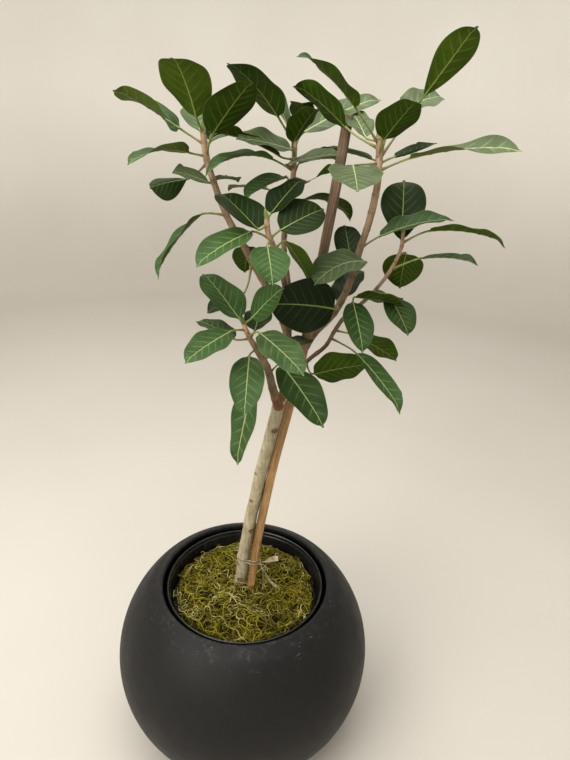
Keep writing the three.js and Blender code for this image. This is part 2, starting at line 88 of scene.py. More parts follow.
# The leaves, from the top of each shoot down. A row gives the height on the shoot where the
# leaf grows; the stalk's heading, rise and length; the blade's heading, rise, length and
# width; how far the blade rolls to its right, arches down, folds up and twists, and where
# it is fullest if that is unusual; and its tone and light, from 0 for a deep green that
# holds painted shade to 1 for a pale grey-green that holds a painted sheen.
LEAVES = {
    "left": [
        (1160, (245, 50, 25), (260, 39, 110, 67), (0, 30, 8, 0, 0.54), 0.55),
        (1130, (300, 53, 38), (315, 38, 105, 62), (-15, 10, 8, 0), 0.25),
        (1145, (180, 30, 40), (220, 25, 106, 50), (-70, 10, 12, 120), 0.7),
        (1130, (200, 10, 25), (225, -8, 100, 40), (35, 45, 15, -50), 0.7),
        (1140, (70, 30, 20), (75, 10, 80, 50), (0, 20, 15, 0), 0.8),
        (1122, (192, -38, 38), (216, -10, 58, 42), (-40, 10, -35, 0, 0.62), 0.35),
        (1096, (262, 2, 24), (212, 16, 56, 32), (-30, 15, 12, 0), 0.85),
        (1050, (195, 0, 40), (235, -40, 120, 40), (30, 30, 20, 0), 0.5),
        (1000, (90, 10, 20), (100, -50, 64, 44), (0, 15, 15, 0), 0.3),
        (985, (230, -60, 60), (185, -25, 52, 44), (-20, 15, 12, 0), 0.2),
    ],
    "middle": [
        (1150, (225, 45, 50), (223, 35, 110, 70), (5, 25, 5, 0), 0.3),
        (1140, (110, 55, 30), (152, 55, 92, 46), (0, 10, 15, 0, 0.62), 0.9),
        (1135, (262, 40, 26), (304, 40, 76, 42), (0, 20, 22, 0), 0.2),
        (1133, (262, 25, 22), (203, 9, 88, 52), (-28, 15, 15, 0), 0.95),
        (1112, (202, 25, 37), (216, -10, 118, 41), (0, 55, 20, 0), 0.6),
        (1110, (66, 60, 65), (10, 25, 130, 50), (35, 15, 12, 0), 1.0),
        (1075, (245, 55, 35), (220, -20, 80, 46), (0, 15, 25, 0), 0.5),
        (1045, (40, 40, 35), (30, -18, 106, 44), (-15, 60, 15, 0), 0.3),
    ],
    "centre": [
        (1055, (75, 25, 18), (50, 35, 80, 54), (0, 10, 12, 0), 0),
        (1050, (225, -15, 18), (142, 30, 84, 76), (0, 10, 12, 0), 0.15),
        (1031, (330, 40, 20), (34, 20, 78, 58), (40, 10, 12, 0), 0.2),
        (1030, (200, 20, 30), (225, -20, 100, 48), (-15, 20, 12, 0), 0.62),
        (1030, (260, -20, 20), (280, -30, 72, 54), (0, 15, 8, 0), 0.6),
    ],
    "right": [
        (1155, (210, 45, 65), (217, 30, 115, 60), (-14, 20, 12, 0), 0.4),
        (1150, (150, 26, 62), (150, 32, 102, 52), (50, 15, 12, 0), 0.3),
        (1140, (275, 50, 30), (303, 41, 76, 57), (-15, 10, 10, 0), 0.3),
        (1135, (0, 58, 98), (303, 46, 112, 46), (-30, 0, 8, 0, 0.64), 0.45),
        (1130, (45, 60, 85), (35, 15, 85, 52), (25, 15, 12, 0), 1.0),
        (1120, (350, 25, 45), (325, 8, 155, 46), (-15, 20, 15, 60), 0.95),
        (1130, (0, 25, 25), (30, 16, 78, 34), (0, -15, 20, 0), 0.2),
        (1130, (205, -5, 42), (270, -15, 92, 76), (0, 15, 6, 0), 0.95),
        (1120, (92, 12, 62), (155, 5, 96, 38), (0, 20, 20, 0), 0.4),
        (985, (105, -20, 24), (100, 40, 80, 50), (0, 10, 12, 0), 0.2),
        (1005, (20, 30, 35), (5, 15, 120, 46), (15, 25, 20, 0), 0.5),
        (974, (300, 28, 31), (212, -16, 98, 64), (-16, 58, 10, 0, 0.5), 0.9),
        (905, (258, 8, 44), (220, 12, 136, 85), (-85, 10, 6, 0), 0),
        (920, (110, -30, 25), (55, 30, 85, 50), (0, 10, 15, 0), 0.1),
    ],
    "side": [
        (1005, (85, 40, 14), (88, 60, 104, 72), (-8, 10, 10, 0, 0.6), 0.15),
        (1012, (345, 30, 45), (320, 0, 125, 30), (-12, 30, 24, 0), 0.4),
        (992, (50, 0, 26), (85, -65, 70, 68), (0, 15, 8, 0), 0.35),
        (970, (355, 25, 50), (320, 5, 95, 26), (5, 25, 20, 0), 0.5),
        (935, (345, -15, 28), (292, -32, 78, 54), (0, 15, 12, 0), 0.4),
        (890, (305, 60, 35), (280, -35, 95, 48), (0, 15, 12, 0), 0.45),
        (865, (10, -15, 38), (5, -30, 88, 54), (-50, 15, 12, 0, 0.54), 0.4),
        (850, (335, -20, 50), (310, -30, 130, 42), (0, 20, 20, 0), 0.6),
        (800, (300, -25, 28), (354, 16, 92, 68), (-70, 10, 8, 0), 0.35),
    ],
    "low": [
        (905, (245, 40, 15), (140, 35, 94, 66), (0, 10, 8, 0), 0.62),
        (905, (355, 40, 16), (335, 48, 71, 48), (60, 10, 10, 0), 0.58),
        (895, (215, 5, 25), (230, -15, 92, 50), (-15, 15, 8, 0), 0.66),
        (885, (310, 25, 30), (315, -20, 100, 54), (15, 15, 6, 0), 0.72),
        (860, (245, -10, 22), (270, -35, 100, 52), (0, 15, 8, 0), 0.65),
        (810, (335, 45, 30), (305, -25, 130, 62), (10, 15, 6, 0), 0.4),
        (835, (210, -50, 20), (240, -70, 155, 44), (0, 10, 12, 0), 0.65),
    ],
}

# Leaves that only show between the others, in the same form.
SMALL_LEAVES = {
    "left": [
        (1155, (120, 30, 15), (105, 20, 95, 50), (0, 15, 12, 0), 0.8),
        (1110, (70, -45, 8), (50, -5, 50, 24), (0, 30, 20, 0), 0.5),
    ],
    "middle": [
        (1155, (310, 60, 26), (270, 30, 56, 36), (0, 15, 20, 0), 0.4),
        (1118, (235, 10, 20), (343, 14, 82, 42), (20, 15, 12, 0, 0.62), 0.95),
        (1128, (200, 10, 22), (207, 16, 112, 24), (20, 25, 20, 0), 0.3),
        (1100, (35, 65, 20), (35, 5, 75, 38), (0, 20, 20, 0), 0.6),
        (1070, (175, 20, 40), (145, -5, 80, 38), (0, 20, 15, 0), 0.8),
        (1070, (315, 50, 26), (285, 15, 56, 32), (0, 20, 20, 0), 0.5),
    ],
    "centre": [
        (1015, (20, 35, 20), (45, -50, 85, 42), (0, 20, 15, 0), 0.5),
    ],
    "right": [
        (1160, (135, 10, 26), (105, 25, 86, 44), (0, 20, 12, 0), 0.9),
        (1110, (200, 25, 25), (188, -8, 72, 22), (20, 20, 25, 0), 0.4),
    ],
    "side": [
        (925, (45, 10, 14), (40, -20, 76, 34), (0, 20, 20, 0), 0.5),
        (905, (262, 55, 30), (345, -4, 80, 46), (-35, 15, 12, 0), 0.2),
    ],
    "low": [
        (880, (165, -10, 26), (145, 10, 80, 44), (0, 15, 12, 0), 0.4),
        (880, (75, 15, 22), (85, 10, 78, 44), (0, 15, 12, 0), 0.3),
        (840, (15, 20, 36), (55, 0, 76, 42), (0, 15, 12, 0), 0.3),
    ],
}

# The length of the bud at the end of each shoot.
BUDS = {"left": 15, "middle": 14, "centre": 14, "right": 15, "side": 14, "low": 12}

# Where a cut-off twig has healed over on the trunk: height, heading and radius.
KNOTS = [(690, 292, 6.5), (598, 215, 3.5), (540, 235, 4), (472, 300, 7), (430, 190, 4), (388, 212, 5),
         (352, 262, 6)]

# The stake's axis: a square bar that bows a little where it is tied.
STAKE = [(-22, -20, 70), (-8, -10, 190), (10, 2, 325), (20.5, 6, 441), (34, 10, 535), (48.5, 16, 621),
         (68, 24, 720), (92, 36, 851), (112, 50, 996), (131, 64, 1145), (136, 68, 1192)]
STAKE_SIDE = 15

# The twine that ties the trunk to the stake: its height, and each loose end's steps from
# the knot, with its half width at the knot, half way and at its tip.
TIE_HEIGHT = 401
TWINE_RADIUS = 1.1
TWINE_TURNS = ((2.6, 0.10), (-2.2, -0.03))  # each turn's height from the knot, and its slope
CORNER_REACH = 1.28  # the worn corners' reach, as a share of half the stake's side
TAPE_ENDS = {
    "tie_tab": {"half": (1.5, 8, 5), "steps": [
        (0, 0, 0), (7, -5, 5), (15, -6, 9), (26, -5, 13), (36, -4, 14)]},
    "tie_tail_long": {"half": (1.3, 3.4, 2.6), "steps": [
        (0, 0, -2), (6, -6, -10), (14, -12, -22), (24, -17, -34), (36, -20, -42)]},
    "tie_tail_short": {"half": (1.2, 2.2, 4), "steps": [
        (1, -2, -3), (6, -8, -16), (9, -14, -32), (8, -19, -52)]},
}

# ---- The pots ----
# The planter is a flattened globe, with a lip given from the outside to the inside: how far
# in and how far up from the shoulder.
PLANTER = {"radius": 250, "half_height": 230, "centre": 194, "shoulder": 340, "wall": 8, "floor": 12,
           "inside_top": 330, "foot_top": 2.5}
LIP = [(4.5, 4.6), (9, 8.2), (15, 12), (21, 15.4), (24, 17.6), (26.8, 19.6), (29.5, 20.8), (31.6, 20.7),
       (33.2, 19.6), (34, 17.6), (34.1, 14.5), (33, 8)]
POT = {"floor": 12.4, "bottom": 115, "top": 147, "shoulder": 338, "rim": 354, "rim_radius": 152, "wall": 2,
       "soil_line": 315}
# The moss bed's domed top, the place from which its edge slumps, and its underside.
MOSS = {"edge": 320, "crown": 336, "radius": 142, "slump_from": 122, "slump": 4, "under": 311}

# ---- The picture ----
CAMERA = {"place": (60, -868, 1177), "pitch": 24.1, "roll": 2.64, "lens": 27.1, "sensor": 36}
STAGE = {"floor_radius": 3.2, "sweep": 1.0, "wall": 3.0}  # in metres
PAPER_THICK, PAPER_DROP = 20, 0.2  # and how far the paper lies below the planter, in millimetres


# ---- Vectors and paths ----
def unit(v):
    return v / np.maximum(np.linalg.norm(v, axis=-1, keepdims=True), 1e-12)


def direction(heading, rise):
    """The unit vector, or vectors, of a heading and a rise above the horizontal."""
    h, r = np.radians(heading), np.radians(rise)
    return np.stack(np.broadcast_arrays(np.cos(r) * np.cos(h), np.cos(r) * np.sin(h), np.sin(r)), -1)


def smoothstep(x):
    x = np.clip(x, 0, 1)
    return x * x * (3 - 2 * x)


def smooth_path(points, per_segment):
    """A centripetal Catmull-Rom curve through the points."""
    p = np.array(points, float)
    p = np.vstack([2 * p[0] - p[1], p, 2 * p[-1] - p[-2]])
    t = np.linspace(0, 1, per_segment, endpoint=False)[:, None]
    pieces = []
    for before, here, there, after in zip(p, p[1:], p[2:], p[3:]):
        steps = [max(np.linalg.norm(b - a) ** 0.5, 1e-6)
                 for a, b in ((before, here), (here, there), (there, after))]
        leave = steps[1] * ((here - before) / steps[0] - (there - before) / (steps[0] + steps[1])
                            + (there - here) / steps[1])
        arrive = steps[1] * ((there - here) / steps[1] - (after - here) / (steps[1] + steps[2])
                             + (after - there) / steps[2])
        pieces.append(here + leave * t + (3 * (there - here) - 2 * leave - arrive) * t ** 2
                      + (2 * (here - there) + leave + arrive) * t ** 3)
    return np.vstack([*pieces, p[-2]])


def even_path(points, count):
    """The same smooth curve, with its points an even distance apart."""
    path = smooth_path(points, 24)
    run = np.concatenate([[0], np.cumsum(np.linalg.norm(np.diff(path, axis=0), axis=1))])
    at = np.linspace(0, run[-1], count)
    return np.stack([np.interp(at, run, path[:, axis]) for axis in range(3)], -1), at


def tube_rings(points, radii, sides, start_side=(0.3, -1, 0.1)):
    """Rings round one or many paths, (..., N, 3), turning as little as they can."""
    tangents = unit(np.gradient(points, axis=-2))
    turn = TAU * np.arange(sides) / sides
    side = np.broadcast_to(np.array(start_side, float), points[..., 0, :].shape)
    rings = []
    for i in range(points.shape[-2]):
        ahead = tangents[..., i, :]
        side = unit(side - (side * ahead).sum(-1, keepdims=True) * ahead)
        over = np.cross(ahead, side)
        r = np.asarray(radii)[..., i, None, None]
        rings.append(points[..., i, None, :] + r * (np.cos(turn)[:, None] * side[..., None, :]
                                                    + np.sin(turn)[:, None] * over[..., None, :]))
    return np.stack(rings, -3)


def sections(centres, x, side, z, up):
    """Rings of points round a path: x to its own sides and z to its own ups."""
    return centres[:, None, :] + x[..., None] * side[:, None, :] + z[..., None] * up[:, None, :]


# ---- Meshes ----
def loft(rings, start, end):
    """The vertices and faces of a closed body through rings, with a fan to a point at each end."""
    count, sides = rings.shape[:2]
    verts = np.vstack([start, rings.reshape(-1, 3), end])
    k = np.arange(sides)
    after = (k + 1) % sides
    faces = [(0, 1 + b, 1 + a) for a, b in zip(k, after)]
    for i in range(count - 1):
        here = 1 + i * sides
        faces += [(here + a, here + b, here + sides + b, here + sides + a) for a, b in zip(k, after)]
    last = len(verts) - 1
    faces += [(last, last - sides + a, last - sides + b) for a, b in zip(k, after)]
    return verts, faces


def joined(bodies):
    """Several bodies' vertices and faces, as one mesh's."""
    verts, faces, offset = [], [], 0
    for v, f in bodies:
        verts.append(v)
        faces += [tuple(i + offset for i in face) for face in f]
        offset += len(v)
    return np.vstack(verts), faces


def make_piece(name, verts, faces, materials, face_materials=None, attributes=None, sharp=None):
    """A smooth-shaded mesh object from vertices in millimetres."""
    mesh = bpy.data.meshes.new(name)
    mesh.from_pydata((np.asarray(verts) * MM).tolist(), [], faces)
    for material in materials:
        mesh.materials.append(material)
    if face_materials is not None:
        mesh.polygons.foreach_set("material_index", np.asarray(face_materials, np.int32))
    for key, values in (attributes or {}).items():
        kind, field = ("FLOAT", "value") if values.ndim == 1 else ("FLOAT_VECTOR", "vector")
        attribute = mesh.attributes.new(key, kind, "POINT")
        attribute.data.foreach_set(field, np.asarray(values, np.float32).ravel())
    mesh.shade_smooth()
    if sharp is not None:
        mesh.set_sharp_from_angle(angle=math.radians(sharp))
    mesh.validate()
    obj = bpy.data.objects.new(name, mesh)
    bpy.context.scene.collection.objects.link(obj)
    return obj


def finish_piece(obj, slot, *nodes):
    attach(obj, BODY)
    if nodes:
        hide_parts(*nodes)
    return obj


def turned(name, outline, segments, material, sharp=50):
    """A body of revolution from (radius, height) points that start and end on the axis."""
    turn = TAU * np.arange(segments) / segments
    rings = np.array([[(r * math.cos(a), r * math.sin(a), z) for a in turn] for r, z in outline[1:-1]])
    (_, low), (_, high) = outline[0], outline[-1]
    verts, faces = loft(rings, (0, 0, low), (0, 0, high))
    return make_piece(name, verts, faces, [material], sharp=sharp)


# ---- Node materials ----
def srgb(colour):
    """A colour socket's value, from a colour's red, green and blue of 0 to 255."""
    return (*(c / 255 / 12.92 if c <= 10 else ((c / 255 + 0.055) / 1.055) ** 2.4 for c in colour), 1)


class Shader:
    """A procedural material. Each method adds one node and returns the output that is used."""

    def __init__(self, name, **constants):
        self.material = bpy.data.materials.new(name)
        self.material.use_nodes = True
        self.nodes = self.material.node_tree.nodes
        self.nodes.clear()
        self.surface = self.nodes.new("ShaderNodeBsdfPrincipled")
        output = self.nodes.new("ShaderNodeOutputMaterial")
        self.feed(output.inputs["Surface"], self.surface.outputs["BSDF"])
        for socket, value in constants.items():
            self.feed(self.surface.inputs[socket.replace("_", " ")], value)
        self.place = self.nodes.new("ShaderNodeTexCoord").outputs["Object"]

    def feed(self, socket, value):
        if isinstance(value, bpy.types.NodeSocket):
            self.material.node_tree.links.new(value, socket)
        else:
            socket.default_value = srgb(value) if socket.type == "RGBA" else value

    def add(self, kind, inputs, output=0, **settings):
        node = self.nodes.new(kind)
        for key, value in settings.items():
            setattr(node, key, value)
        for key, value in inputs.items():
            self.feed(node.inputs[key], value)
        return node.outputs[output]

    def math(self, operation, a, b=0, c=0):
        return self.add("ShaderNodeMath", {0: a, 1: b, 2: c}, operation=operation)

    def times(self, a, b, plus=0):
        return self.math("MULTIPLY_ADD", a, b, plus) if plus else self.math("MULTIPLY", a, b)

    def mix(self, share, a, b, blend="MIX"):
        return self.add("ShaderNodeMix", {0: share, 6: a, 7: b}, output=2, data_type="RGBA",
                        blend_type=blend)

    def stain(self, share, colour, value, *stops):
        """The colour, multiplied by a ramp over the value. The share is how strongly."""
        return self.mix(share, colour, self.ramp(value, *stops), "MULTIPLY")

    def noise(self, scale, detail=3, roughness=0.55, stretch=None, distortion=0):
        """Noise over the object. A stretch is a scale for each axis, or a stretched vector."""
        vector = self.stretched(stretch) if isinstance(stretch, tuple) else stretch or self.place
        return self.add("ShaderNodeTexNoise", {
            "Vector": vector, "Scale": scale, "Detail": detail, "Roughness": roughness,
            "Distortion": distortion})

    def cracks(self, scale):
        """The distance to the nearest edge of a net of cells."""
        return self.add("ShaderNodeTexVoronoi", {"Vector": self.place, "Scale": scale},
                        feature="DISTANCE_TO_EDGE")

    def fade(self, value, low, high, first=0, last=1):
        return self.add("ShaderNodeMapRange", {0: value, 1: low, 2: high, 3: first, 4: last},
                        interpolation_type="SMOOTHSTEP")

    def ramp(self, value, *stops):
        """A colour ramp. A stop is a position with a red, green and blue, or alone for white."""
        node = self.nodes.new("ShaderNodeValToRGB")
        while len(node.color_ramp.elements) < len(stops):
            node.color_ramp.elements.new(0.5)
        for element, stop in zip(node.color_ramp.elements, stops):
            position, *colour = stop if isinstance(stop, tuple) else (stop, 255, 255, 255)
            element.position, element.color = position, srgb(colour)
        self.feed(node.inputs[0], value)
        return node.outputs[0]

    def attribute(self, name, output="Vector"):
        return self.add("ShaderNodeAttribute", {}, output=output, attribute_name=name)

    def split(self, vector):
        node = self.nodes.new("ShaderNodeSeparateXYZ")
        self.feed(node.inputs[0], vector)
        return node.outputs

    def stretched(self, scale, vector=None):
        return self.add("ShaderNodeMapping", {"Vector": vector or self.place, "Scale": scale})

    def done(self, colour, roughness, *bumps):
        """Feeds the surface. A bump is its height, strength and distance in millimetres."""
        self.feed(self.surface.inputs["Base Color"], colour)
        self.feed(self.surface.inputs["Roughness"], roughness)
        normal = None
        for height, strength, distance in bumps:
            inputs = {"Height": height, "Strength": strength, "Distance": distance * MM}
            if normal:
                inputs["Normal"] = normal
            normal = self.add("ShaderNodeBump", inputs)
        if normal:
            self.feed(self.surface.inputs["Normal"], normal)
        return self.material


# The side veins of a leaf: how many to a leaf's length, how steeply they leave the midrib,
# how much they sweep towards the tip, and how far the left ones are ahead of the right ones.
VEINS = {"count": 7, "slope": 0.78, "sweep": 0.9, "stagger": 0.4}

# Each leaf face's colours, from the deepest leaves' to the palest ones', and its numbers.
# The deepest greens are painted shade on leaves under the others, and the palest grey-greens
# a painted sheen of the ceiling lamp on leaves that face up; the under face's olive greens
# also paint the light that shines through a leaf.
TONE_AND_LIGHT_STOPS = (0, 0.3, 0.6, 1)
LEAF_FACES = {
    "leaf_upper": {
        "greens": [(14, 31, 5), (31, 51, 9), (60, 90, 44), (92, 104, 74)],
        "veins": [(60, 84, 30), (156, 174, 124)], "midribs": [(124, 144, 68), (176, 188, 130)],
        "specular": 0.12, "net": 0.09, "side_vein": 0.66, "gloss": (0.38, 0.5), "relief": -1},
    "leaf_under": {
        "greens": [(22, 44, 1), (46, 68, 6), (76, 98, 20), (98, 110, 62)],
        "veins": [(92, 112, 26), (130, 146, 76)], "midribs": [(128, 142, 56), (150, 160, 92)],
        "specular": 0.08, "net": 0.16, "side_vein": 0.75, "gloss": (0.56, 0.68), "relief": 1},
}


def leaf_material(name):
    face = LEAF_FACES[name]
    look = Shader(name, Specular_IOR_Level=face["specular"], Sheen_Weight=0.02, Sheen_Roughness=0.4,
                  Sheen_Tint=(214, 220, 190))
    across, along, share = look.split(look.attribute("leaf_at"))
    tone_and_light = look.attribute("tone_and_light", "Fac")
    vein, midrib = look.mix(tone_and_light, *face["veins"]), look.mix(tone_and_light, *face["midribs"])
    away, reach = look.math("ABSOLUTE", across), look.math("ABSOLUTE", share)
    right = look.math("GREATER_THAN", across, 0)

    # How near a point is to a side vein, to the midrib and to the fine net between them.
    swept = look.times(look.times(away, away), VEINS["sweep"])
    back = look.times(away, VEINS["slope"], swept)
    wander = look.times(look.noise(22, 1), 0.05, -0.025)
    level = look.math("ADD", look.math("SUBTRACT", along, back), wander)
    phase = look.times(level, VEINS["count"], look.times(right, VEINS["stagger"]))
    gap = look.math("ABSOLUTE", look.math("SUBTRACT", look.math("FRACT", phase), 0.5))
    ends = look.times(look.fade(level, -0.02, 0.02), look.fade(along, 0.97, 0.88))
    side_vein = look.times(look.fade(gap, 0.034, 0.008), ends)
    side_vein = look.times(side_vein, look.fade(reach, 0.95, 0.35, 0.1, 1))
    halo = look.times(look.fade(gap, 0.24, 0.04), look.times(ends, look.fade(reach, 0.9, 0.3)))
    narrow = look.times(along, -0.009, 0.012)
    rib = look.fade(look.math("DIVIDE", away, narrow), 1.15, 0.6)
    net = look.fade(look.cracks(420), 0.09, 0)

    mottle, fine = look.noise(46, 4), look.noise(340, 3)
    # The blade's green follows its tone and light: deep greens are painted shade, pale grey-greens a painted
    # sheen.
    blade = look.ramp(tone_and_light, *((at, *green) for at, green in zip(TONE_AND_LIGHT_STOPS, face["greens"])))
    blade = look.stain(0.42, blade, look.fade(mottle, 0.3, 0.72), (0, 150, 164, 138), 1)
    blade = look.stain(0.3, blade, fine, (0.3, 190, 196, 180), 0.7)
    blade = look.mix(look.times(halo, 0.1), blade, vein)
    blade = look.mix(look.times(net, face["net"]), blade, vein)
    blade = look.mix(look.times(side_vein, face["side_vein"]), blade, vein)
    blade = look.mix(look.times(rib, 0.95), blade, midrib)
    blade = look.mix(look.fade(reach, 0.965, 0.995, 0, 0.35), blade, midrib)

    gloss = look.times(side_vein, 0.1, look.fade(mottle, 0.25, 0.75, *face["gloss"]))
    relief = look.times(side_vein, face["relief"])
    return look.done(blade, gloss, (relief, 0.5, 0.5), (net, 0.2, 0.12), (fine, 0.18, 0.15))


def stalk_material():
    look = Shader("leaf_stalk", Sheen_Weight=0.08)
    along = look.split(look.attribute("leaf_at"))[1]
    streaks = look.noise(900, 3, stretch=(1, 1, 0.35))
    patches = look.noise(120, 3)
    green = look.mix(look.fade(patches, 0.35, 0.7), (104, 122, 44), (146, 156, 78))
    green = look.mix(look.fade(along, -0.55, -1), green, (126, 112, 62))
    green = look.stain(0.35, green, streaks, (0.35, 180, 180, 150), 0.65)
    return look.done(green, look.fade(streaks, 0.3, 0.7, 0.4, 0.55), (streaks, 0.3, 0.2))


def bark_material():
    look = Shader("bark")
    youth, knot, ring = look.split(look.attribute("bark_at"))
    fibre = look.noise(260, 5, 0.6, (1, 1, 0.12))
    blotch = look.noise(34, 5, 0.62)
    speck = look.noise(520, 3)
    band = look.noise(150, 4, 0.6, (0.25, 0.25, 1.6))

    pale = look.ramp(blotch, (0.3, 150, 140, 110), (0.46, 176, 166, 136), (0.62, 188, 180, 152),
                     (0.75, 166, 162, 130))
    pale = look.stain(0.35, pale, band, (0.3, 170, 148, 116), (0.4, 240, 234, 222), 0.6)
    brown = look.ramp(blotch, (0.3, 92, 58, 32), (0.5, 130, 86, 50), (0.7, 150, 110, 72))
    grey = look.ramp(blotch, (0.3, 104, 84, 62), (0.5, 136, 114, 88), (0.7, 160, 140, 112))
    young = look.ramp(blotch, (0.35, 158, 126, 98), (0.52, 192, 160, 134), (0.68, 158, 148, 104))
    wood = look.mix(look.fade(youth, 0.02, 0.1), pale, brown)
    wood = look.mix(look.fade(youth, 0.14, 0.4), wood, grey)
    wood = look.mix(look.fade(youth, 0.7, 0.98), wood, young)
    wood = look.stain(0.5, wood, fibre, (0.36, 174, 162, 144), 0.6)
    wood = look.stain(0.35, wood, speck, (0.3, 150, 140, 125), 0.55)
    wood = look.mix(look.times(ring, 0.55), wood, (74, 56, 40))
    wood = look.mix(look.times(knot, 0.9), wood, (92, 62, 40))
    return look.done(wood, look.fade(speck, 0.3, 0.7, 0.62, 0.82), (fibre, 0.35, 0.5), (band, 0.3, 0.5),
                     (speck, 0.25, 0.25))


def stake_material():
    look = Shader("stake_wood")
    place = look.attribute("bar_at")
    along = look.split(place)[2]
    grain_at = look.stretched((1, 1, 0.035), place)
    grain = look.noise(520, 5, 0.6, grain_at, 0.4)
    streak = look.noise(190, 3, 0.5, grain_at)
    dirt = look.noise(26, 5, 0.65)
    tan = look.ramp(grain, (0.28, 124, 88, 50), (0.5, 168, 130, 80), (0.72, 190, 154, 104))
    # The bar's upper part, among the leaves, gets a greyer, darker ramp: painted shade of the canopy, with
    # the tan below as the lit wood.
    canopy_shaded_wood = look.ramp(grain, (0.28, 92, 72, 54), (0.5, 138, 114, 90), (0.72, 164, 142, 118))
    wood = look.mix(look.fade(along, 0.62, 0.86), tan, canopy_shaded_wood)
    wood = look.stain(0.7, wood, streak, (0.36, 138, 116, 96), 0.5)
    wood = look.stain(0.4, wood, dirt, (0.36, 150, 134, 116), 0.6)
    sawn_end = look.fade(along, 1.149, 1.157)
    wood = look.mix(sawn_end, wood, (70, 50, 36))
    return look.done(wood, look.fade(grain, 0.3, 0.7, 0.58, 0.8), (grain, 0.5, 0.5), (streak, 0.3, 0.6))


def twine_material():
    look = Shader("tie_twine")
    fibre = look.noise(1500, 3, 0.6, (1, 1, 2.2))
    patch = look.noise(120, 3)
    straw = look.ramp(patch, (0.35, 128, 112, 88), (0.55, 168, 152, 126), (0.7, 186, 178, 152))
    straw = look.stain(0.5, straw, fibre, (0.35, 150, 140, 125), 0.6)
    return look.done(straw, look.fade(fibre, 0.3, 0.7, 0.5, 0.75), (fibre, 0.5, 0.3))


def moss_material():
    look = Shader("moss_strands", Specular_IOR_Level=0.2)
    patch, fine = look.noise(40, 4), look.noise(900, 2)
    # A strand's colour by its tone and light: the darkest stops are painted shade on the deepest strands,
    # the brightest partly painted light on the highest.
    strand = look.ramp(look.attribute("tone_and_light", "Fac"), (0, 8, 6, 1), (0.3, 38, 33, 3), (0.6, 106, 98, 8),
                       (0.84, 164, 156, 38), (0.97, 208, 202, 146))
    strand = look.stain(0.6, strand, patch, (0.35, 150, 142, 96), (0.65, 255, 250, 240))
    strand = look.stain(0.4, strand, fine, (0.35, 170, 160, 120), 0.65)
    return look.done(strand, look.fade(fine, 0.3, 0.7, 0.6, 0.85), (fine, 0.3, 0.2))


def moss_shade_bed_material():
    look = Shader("moss_shade_bed")
    clump = look.noise(160, 5, 0.7)
    lace = look.cracks(300)
    # The bed is painted near black: painted shade in the gaps between the strands, darker still along a net
    # of lines between clumps.
    shade_bed = look.ramp(clump, (0.32, 8, 7, 2), (0.52, 20, 17, 5), (0.7, 42, 37, 9))
    shade_bed = look.stain(0.8, shade_bed, lace, 0, (0.22, 120, 112, 70))
    return look.done(shade_bed, 0.9, (clump, 0.9, 3), (lace, 0.5, 1.5))


def soil_material():
    look = Shader("soil")
    crumb = look.noise(220, 6, 0.7)
    earth = look.ramp(crumb, (0.3, 24, 17, 12), (0.5, 48, 35, 25), (0.72, 84, 64, 46))
    return look.done(earth, 0.95, (crumb, 0.9, 2), (look.cracks(140), 0.4, 2))


def planter_material():
    look = Shader("planter_shell", Specular_IOR_Level=0.22)
    height = look.split(look.place)[2]
    cloud = look.noise(5, 5, 0.6)
    patch = look.noise(24, 5, 0.65)
    grit = look.noise(620, 3)
    dust = look.noise(60, 6, 0.72)
    scratch = look.noise(130, 4, 0.6, (0.22, 0.6, 1.4), 1.2)
    shell = look.ramp(cloud, (0.3, 22, 22, 22), (0.5, 25, 25, 24), (0.7, 28, 27, 26))
    shell = look.stain(0.25, shell, patch, (0.34, 206, 204, 200), 0.62)
    shell = look.stain(0.3, shell, grit, (0.32, 180, 180, 178), 0.6)
    near_lip = look.fade(height, 0.322, 0.35)
    film = look.times(look.fade(dust, 0.52, 0.74), look.times(near_lip, 0.14, 0.03))
    shell = look.mix(film, shell, (112, 110, 105))
    marks = look.times(look.fade(scratch, 0.67, 0.72), look.times(near_lip, 0.3, 0.03))
    shell = look.mix(marks, shell, (140, 136, 130))
    gloss = look.fade(patch, 0.3, 0.7, 0.5, 0.6)
    return look.done(shell, gloss, (grit, 0.15, 0.2), (patch, 0.1, 0.8), (scratch, 0.05, 0.3))


def pot_material():
    look = Shader("nursery_pot_plastic")
    scuff = look.noise(90, 5, 0.65, (1, 1, 0.3))
    grit = look.noise(800, 2)
    dust = look.noise(34, 5, 0.7)
    black = look.mix(look.fade(dust, 0.52, 0.78, 0, 0.28), (15, 15, 16), (70, 68, 62))
    black = look.mix(look.fade(scuff, 0.6, 0.72, 0, 0.2), black, (96, 94, 90))
    return look.done(black, look.fade(scuff, 0.3, 0.7, 0.24, 0.42), (grit, 0.15, 0.15), (scuff, 0.15, 0.3))


def stage_material():
    look = Shader("studio_paper")
    tooth, cloud = look.noise(240, 3), look.noise(1.3, 2)
    # The paper is painted darker low down and lighter up the wall: painted shade on the brightly lit floor
    # and painted light on the wall, which the lamps light less.
    rise = look.fade(look.split(look.place)[2], 0, 1.5)
    paper = look.mix(rise, (200, 195, 186), (244, 241, 233))
    paper = look.stain(0.3, paper, cloud, (0.3, 236, 234, 230), 0.7)
    return look.done(paper, 0.75, (tooth, 0.1, 0.3))


